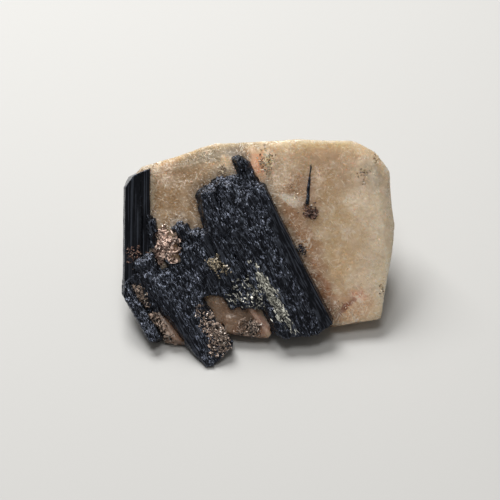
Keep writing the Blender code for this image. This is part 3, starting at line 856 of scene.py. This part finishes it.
def cloudy_quartz():
    """Massive smoky quartz: glassy where it broke clean, frosty and full of veils inside."""
    made, tree, shader = new_material(
        "smoky_quartz_broken",
        {"IOR": 1.544, "Transmission Weight": 0.3, "Subsurface Weight": 0.8,
         "Subsurface Radius": (1.0, 0.85, 0.65), "Subsurface Scale": 0.007},
    )
    face = face_millimetres(tree)
    tree.links.new(quartz_colour(tree, face), shader.inputs["Base Color"])
    rough = add(
        tree, "ShaderNodeMapRange",
        {"Value": noise(tree, face, QUARTZ_GLOSS), "To Min": 0.16, "To Max": 0.45},
    )
    tree.links.new(rough.outputs["Result"], shader.inputs["Roughness"])
    grain = add(tree, "ShaderNodeTexNoise", {"Vector": face, "Scale": 1.8, "Detail": 3.0})
    bump = add(
        tree, "ShaderNodeBump", {"Height": grain.outputs["Fac"], "Strength": 0.5, "Distance": 0.25 * MM}
    )
    tree.links.new(bump.outputs["Normal"], shader.inputs["Normal"])
    smoke = add(tree, "ShaderNodeVolumeAbsorption", {"Color": linear("#f0dcc4"), "Density": 60.0})
    tree.links.new(smoke.outputs["Volume"], tree.nodes["Material Output"].inputs["Volume"])
    return made


def schorl_colour(tree, torn, ribbed, etched, sparkle):
    """Black under a thin grey film, with paler lines along the ribs, painted sheen, and pale crests where
    it's etched, partly their film and partly painted glints.
    """
    colour = tinted(tree, linear("#060709"), noise(tree, torn, SCHORL_FILM), 0.12, "#23262a")
    # Paler lines along the ribs: painted sheen where the ribs catch the light.
    colour = tinted(tree, colour, noise(tree, ribbed, SCHORL_RIB_SHEEN), 0.75, "#343942")
    # Thin pale crests: partly a paler etched film, partly painted glints of light on the ridges.
    crest_film_and_glints = threads(tree, torn, CREST_SIZE, CREST_WIDTH)
    gaps = noise(tree, face_millimetres(tree), CREST_GAPS)
    broken = add(tree, "ShaderNodeMath", {0: crest_film_and_glints, 1: gaps}, operation="MULTIPLY")
    shown = add(tree, "ShaderNodeMath", {0: broken.outputs[0], 1: etched}, operation="MULTIPLY")
    return tinted(tree, colour, shown.outputs[0], 0.3 * sparkle, "#8f9bb0")


def facet_normal(tree, cells, ribbed, etched, sparkle):
    """The surface's normal, tilted another way on each small facet where the crystal is etched."""
    centred = add(
        tree, "ShaderNodeVectorMath", {0: cells.outputs["Color"], 1: (0.5, 0.5, 0.5)}, operation="SUBTRACT"
    )
    patches = add(
        tree, "ShaderNodeMapRange",
        {"Value": noise(tree, ribbed, SPARKLE_PATCHES), "To Min": 0.3 * sparkle, "To Max": sparkle},
    )
    amount = add(tree, "ShaderNodeMath", {0: etched, 1: patches.outputs["Result"]}, operation="MULTIPLY")
    tilts = add(
        tree, "ShaderNodeVectorMath", {0: centred.outputs[0], "Scale": amount.outputs[0]}, operation="SCALE"
    )
    surface = add(tree, "ShaderNodeNewGeometry")
    tilted = add(
        tree, "ShaderNodeVectorMath", {0: surface.outputs["Normal"], 1: tilts.outputs[0]}, operation="ADD"
    )
    return add(tree, "ShaderNodeVectorMath", {0: tilted.outputs[0]}, operation="NORMALIZE").outputs[0]


def black_tourmaline(name, lean, sparkle, streaks):
    """Schorl: black and glassy, etched into small facets that catch the light and drawn out in ribs.

    Its length leans to the right of straight down, in degrees. Sparkle is how strongly the facets tilt,
    and a rib is as many times longer than wide as streaks says.
    """
    made, tree, shader = new_material(name, {"IOR": 1.64, "Specular Tint": linear("#adbad9")})
    along = face_millimetres(tree, (0, -lean, 0), (1, 1, FACET_LENGTH / FACET_WIDTH))
    ribbed = face_millimetres(tree, (0, -lean, 0), (RIB_WIDTH, RIB_WIDTH, RIB_WIDTH * streaks))
    torn = ragged(tree, along, FACET_TEAR_SIZE, FACET_TEAR_REACH)
    etched = add(tree, "ShaderNodeAttribute", attribute_name="rough").outputs["Fac"]
    tree.links.new(schorl_colour(tree, torn, ribbed, etched, sparkle), shader.inputs["Base Color"])
    cells = add(tree, "ShaderNodeTexVoronoi", {"Vector": torn, "Scale": 1 / FACET_WIDTH})
    rough = add(
        tree, "ShaderNodeMapRange",
        {"Value": cells.outputs["Color"], "From Min": 0.2, "From Max": 0.8, "To Min": 0.04, "To Max": 0.2},
    )
    tree.links.new(rough.outputs["Result"], shader.inputs["Roughness"])
    ribs = add(tree, "ShaderNodeTexNoise", {"Vector": ribbed, "Scale": 1.0, "Detail": 2.0})
    bump = add(
        tree, "ShaderNodeBump",
        {"Height": ribs.outputs["Fac"], "Strength": 0.7, "Distance": 0.2 * MM,
         "Normal": facet_normal(tree, cells, ribbed, etched, sparkle)},
    )
    tree.links.new(bump.outputs["Normal"], shader.inputs["Normal"])
    return made


def mica_plates(name, dark, pale):
    """Mica: pearly plates whose colour changes from one to the next, from dark to pale."""
    made, tree, shader = new_material(name, {"IOR": 1.58, "Roughness": 0.18})
    tone = add(tree, "ShaderNodeAttribute", attribute_name="tone")
    plate = add(
        tree, "ShaderNodeMapRange", {"Value": tone.outputs["Fac"], "From Min": 0.45, "From Max": 1.0}
    )
    specks = noise(tree, face_millimetres(tree), MICA_SPECKS)
    mask = add(
        tree, "ShaderNodeMath", {0: specks, 1: 0.45, 2: plate.outputs["Result"]}, operation="MULTIPLY_ADD"
    )
    colour = tinted(tree, linear(dark), mask.outputs[0], 1.0, pale)
    tree.links.new(colour, shader.inputs["Base Color"])
    return made


def mica_flake():
    """One thin six-sided plate of mica, a millimetre across."""
    bpy.ops.mesh.primitive_cylinder_add(vertices=6, radius=0.5 * MM, depth=FLAKE_THICKNESS * MM)
    flake = bpy.context.object
    flake.name = "flake"
    return flake


def splinter():
    """One splinter, a millimetre long and pointed at both ends."""
    bpy.ops.mesh.primitive_uv_sphere_add(segments=4, ring_count=4, radius=0.5 * MM)
    grain = bpy.context.object
    grain.name = "splinter"
    bpy.ops.transform.resize(value=(SPLINTER_SLIM, SPLINTER_SLIM, 1))
    bpy.ops.transform.rotate(value=math.radians(90), orient_axis="Y", center_override=(0, 0, 0))
    bpy.ops.object.transform_apply(location=False, rotation=True, scale=True)
    return grain


def mica_lump(name, patch):
    """The intergrown middle of a patch of mica: a low ellipsoid, broken up into ledges and hollows."""
    middle = Vector(patch.middle) * MM
    across, out, along = MICA_CORE
    bpy.ops.mesh.primitive_ico_sphere_add(subdivisions=4, radius=MM, location=middle)
    lump = bpy.context.object
    lump.name = name
    bpy.ops.transform.resize(value=(across * patch.width, out * patch.height, along * patch.length))
    bpy.ops.transform.rotate(value=math.radians(patch.lean), orient_axis="Y", center_override=middle)
    bpy.ops.object.transform_apply(location=True, rotation=True, scale=True)
    add_skin(lump, MICA_GRAIN)
    roughen(lump, MICA_RELIEF, guide_along("lump_guide", (0, 0, 0), (0.2, 0.9, 0.3), 0.5))
    return lump


def cover(lump, flake, patch, seed):
    """Plates over the whole of a lump, joined to it."""
    everywhere = Strewn("", "", "", (0, 0), BLOCK, BLOCK, 0, patch.per_mm2, patch.sizes, PLATE_TILT)
    plates = strew(lump.name + "_plates", lump, flake, everywhere, seed)
    pick(lump, plates)
    bpy.ops.object.join()
    return lump


def modifier_tree(name):
    """A geometry tree that takes in a mesh and gives one back, and the mesh that comes in."""
    tree = bpy.data.node_groups.new(name, "GeometryNodeTree")
    tree.interface.new_socket("Geometry", in_out="INPUT", socket_type="NodeSocketGeometry")
    tree.interface.new_socket("Geometry", in_out="OUTPUT", socket_type="NodeSocketGeometry")
    return tree, add(tree, "NodeGroupInput").outputs[0]


def run_tree(piece, tree, result):
    """Ends a geometry tree with what it gives back, and applies it to a piece."""
    add(tree, "NodeGroupOutput", {0: result})
    step = piece.modifiers.new(tree.name, "NODES")
    step.node_group = tree
    apply_modifiers(piece)


def distance_in_area(tree, place, area):
    """How far a point of the show face is from the middle of an area: 1 all along its rim."""
    middle = Vector((area.middle[0], 0, area.middle[1])) * MM
    offset = add(tree, "ShaderNodeVectorMath", {0: place, 1: middle}, operation="SUBTRACT")
    turned = add(
        tree, "ShaderNodeVectorRotate",
        {"Vector": offset.outputs[0], "Angle": math.radians(area.lean)}, rotation_type="Y_AXIS",
    )
    size = (area.width * MM, 1.0, area.length * MM)
    shares = add(tree, "ShaderNodeVectorMath", {0: turned.outputs[0], 1: size}, operation="DIVIDE")
    flat = add(tree, "ShaderNodeVectorMath", {0: shares.outputs[0], 1: (1, 0, 1)}, operation="MULTIPLY")
    return add(tree, "ShaderNodeVectorMath", {0: flat.outputs[0]}, operation="LENGTH").outputs["Value"]


def amount_in_area(tree, area):
    """How many grains go on a square metre at a point: they lie in clumps inside the area, on what faces
    the viewer."""
    place = add(tree, "GeometryNodeInputPosition").outputs[0]
    clumps = add(
        tree, "ShaderNodeTexNoise", {"Vector": place, "Scale": 1 / (CLUMP_SIZE * MM), "Detail": 2.0}
    )
    uneven = add(
        tree, "ShaderNodeMath",
        {0: clumps.outputs["Fac"], 1: CLUMP_REACH, 2: distance_in_area(tree, place, area)},
        operation="MULTIPLY_ADD",
    )
    share = add(
        tree, "ShaderNodeMapRange",
        {"Value": uneven.outputs[0], "From Min": CLUMP_RIM[0], "From Max": CLUMP_RIM[1],
         "To Min": 1.0, "To Max": 0.0},
    )
    normal = add(tree, "GeometryNodeInputNormal")
    parts = add(tree, "ShaderNodeSeparateXYZ", {"Vector": normal.outputs[0]})
    facing = add(tree, "ShaderNodeMath", {0: parts.outputs["Y"], 1: -FACING_LEAST}, operation="LESS_THAN")
    here = add(tree, "ShaderNodeMath", {0: share.outputs[0], 1: facing.outputs[0]}, operation="MULTIPLY")
    amount = add(
        tree, "ShaderNodeMath", {0: here.outputs[0], 1: area.per_mm2 / MM**2}, operation="MULTIPLY"
    )
    return amount.outputs[0]


def grain_turns(tree, points, area, seed):
    """How each grain lies: along the lean of its area, then tilted at random."""
    lean = math.radians(area.lean)
    along = add(
        tree, "FunctionNodeAlignRotationToVector",
        {"Rotation": points.outputs["Rotation"], "Vector": (math.sin(lean), 0, -math.cos(lean))},
        axis="X", pivot_axis="Z",
    )
    tilt = math.radians(area.tilt)
    tilts = add(
        tree, "FunctionNodeRandomValue",
        {0: (-tilt, -tilt, -tilt), 1: (tilt, tilt, tilt), "Seed": seed}, data_type="FLOAT_VECTOR",
    )
    tilted = add(
        tree, "FunctionNodeRotateRotation",
        {"Rotation": along.outputs[0], "Rotate By": tilts.outputs[0]}, rotation_space="LOCAL",
    )
    return tilted.outputs[0]


def strew(name, ground, grain, area, seed):
    """Grains strewn over an area of a surface, each with its own tone, made real and kept as one mesh."""
    pick(ground)
    bpy.ops.object.duplicate()
    strewn = bpy.context.object
    strewn.name = name
    tree, given = modifier_tree(name)
    points = add(
        tree, "GeometryNodeDistributePointsOnFaces",
        {"Mesh": given, "Density": amount_in_area(tree, area), "Seed": seed},
    )
    model = add(tree, "GeometryNodeObjectInfo", {"Object": grain}, transform_space="ORIGINAL")
    low, high = area.sizes
    sizes = add(
        tree, "FunctionNodeRandomValue",
        {0: (low, low, low), 1: (high, high, high), "Seed": seed + 2}, data_type="FLOAT_VECTOR",
    )
    placed = add(
        tree, "GeometryNodeInstanceOnPoints",
        {"Points": points.outputs["Points"], "Instance": model.outputs["Geometry"],
         "Rotation": grain_turns(tree, points, area, seed + 1), "Scale": sizes.outputs[0]},
    )
    tones = add(tree, "FunctionNodeRandomValue", {2: 0.0, 3: 1.0, "Seed": seed + 3}, data_type="FLOAT")
    toned = add(
        tree, "GeometryNodeStoreNamedAttribute",
        {"Geometry": placed.outputs[0], "Name": "tone", "Value": tones.outputs[1]},
        data_type="FLOAT", domain="INSTANCE",
    )
    real = add(tree, "GeometryNodeRealizeInstances", {"Geometry": toned.outputs[0]})
    run_tree(strewn, tree, real.outputs[0])
    return strewn


def mark_near(lump, crystals):
    """Stores how near each point of the quartz is to the black crystals, which show through it darkly."""
    tree, given = modifier_tree("near")
    joined = add(tree, "GeometryNodeJoinGeometry")
    for crystal in crystals:
        model = add(tree, "GeometryNodeObjectInfo", {"Object": crystal}, transform_space="ORIGINAL")
        tree.links.new(model.outputs["Geometry"], joined.inputs[0])
    gap = add(tree, "GeometryNodeProximity", {0: joined.outputs[0]}, target_element="FACES")
    share = add(
        tree, "ShaderNodeMapRange",
        {"Value": gap.outputs["Distance"], "From Min": 0.0, "From Max": NEAR_REACH * MM, "To Min": 1.0,
         "To Max": 0.0},
        interpolation_type="SMOOTHSTEP",
    )
    stored = add(
        tree, "GeometryNodeStoreNamedAttribute",
        {"Geometry": given, "Name": "near", "Value": share.outputs[0]},
        data_type="FLOAT", domain="POINT",
    )
    run_tree(lump, tree, stored.outputs[0])


def dress(piece, finish, slot, *nodes):
    """Gives a piece its finish and its body, and hides the solids that it stands for. The slot is not used.
    """
    piece.data.materials.clear()
    piece.data.materials.append(finish)
    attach(piece, "root")
    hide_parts(*nodes)


def lay_floor():
    """A plain pale sheet of paper under the stone."""
    bpy.ops.mesh.primitive_plane_add(size=FLOOR_WIDTH)
    floor = bpy.context.object
    floor.name = "floor"
    paper, _, _ = new_material("pale_paper", {"Base Color": linear("#b8bcc0"), "Roughness": 0.9})
    floor.data.materials.append(paper)


def light_room():
    """Faint warm light from all around, and the soft boxes, each turned to the stone."""
    world = bpy.data.worlds.new("room")
    world.use_nodes = True
    room = world.node_tree.nodes["Background"]
    room.inputs["Color"].default_value = linear(ROOM_COLOUR)
    room.inputs["Strength"].default_value = ROOM_STRENGTH
    bpy.context.scene.world = world
    for place, size, energy in SOFT_BOXES:
        bpy.ops.object.light_add(type="AREA", location=place)
        box = bpy.context.object
        box.data.size = size
        box.data.energy = energy
        box.data.color = linear(LIGHT_COLOUR)[:3]
        box.rotation_euler = box.location.to_track_quat("Z", "Y").to_euler()


def place_camera():
    """The camera, square to the show face."""
    bpy.ops.object.camera_add()
    camera = bpy.context.object
    camera.data.sensor_width = SENSOR
    camera.data.lens = SENSOR * CAMERA_DISTANCE / FRAME_WIDTH
    camera.data.clip_start = 0.01
    lean = Matrix.Rotation(-FACE_LEAN, 4, "X")
    camera.location = FACE_CENTRE + lean @ Vector((CAMERA_ASIDE, -CAMERA_DISTANCE, 0))
    camera.rotation_euler = (lean @ Vector((0, 1, 0))).to_track_quat("-Z", "Y").to_euler()
    bpy.context.scene.camera = camera
    bpy.context.scene.view_settings.view_transform = "Standard"


def finishes():
    """The materials, and the kind of stuff that each is."""
    return {
        "quartz": (cloudy_quartz(), "quartz"),
        "etched": (black_tourmaline("schorl_etched", 27, 1.0, 9), "tourmaline"),
        "striated": (black_tourmaline("schorl_striated", 0, 0.06, 60), "tourmaline"),
        "rose": (mica_plates("rose_mica_plates", "#311a15", "#f6ddd2"), "mica"),
        "pink": (mica_plates("pink_mica_plates", "#1b1615", "#d2beb2"), "mica"),
        "cream": (mica_plates("weathered_mica_splinters", "#383b39", "#e6e9e2"), "mica"),
        "plum": (mica_plates("plum_mica_plates", "#241717", "#977a6f"), "mica"),
        "gold": (mica_plates("yellowed_mica_plates", "#24201c", "#e2d6bd"), "mica"),
        "rust": (mica_plates("rusty_mica_specks", "#553a22", "#dcd2bd"), "mica"),
    }


def build_pieces():
    """Models every piece, and gives them with their finish and the solid that each stands for."""
    quartz = quartz_lump()
    crystals = {name: crystal_group(name, group) for name, group in GROUPS.items()}
    mark_near(quartz, [crystals["cluster"], crystals["prism"], crystals["edge"]])
    pieces = [(quartz, "quartz", ["quartz_matrix"])]
    pieces += [(crystals[name], group.finish, [group.solid]) for name, group in GROUPS.items()]
    surfaces = {"quartz": quartz, **crystals}
    models = {"flake": mica_flake(), "splinter": splinter()}
    for seed, (name, area) in enumerate(GRAINS.items(), FIRST_GRAIN_SEED):
        pieces.append((strew(name, surfaces[area.surface], models[area.grain], area, seed), area.finish, []))
    for seed, (name, patch) in enumerate(MICA.items(), FIRST_MICA_SEED):
        lump = cover(mica_lump(name + "_plates", patch), models["flake"], patch, seed)
        pieces.append((lump, patch.finish, [name]))
    for model in models.values():
        bpy.data.objects.remove(model)
    return pieces


def main():
    deselect()
    lay_floor()
    light_room()
    place_camera()
    materials = finishes()
    for piece, finish, solids in build_pieces():
        dress(piece, *materials[finish], *solids)
        stand_in_place(piece)
        keep_inside(piece)


main()
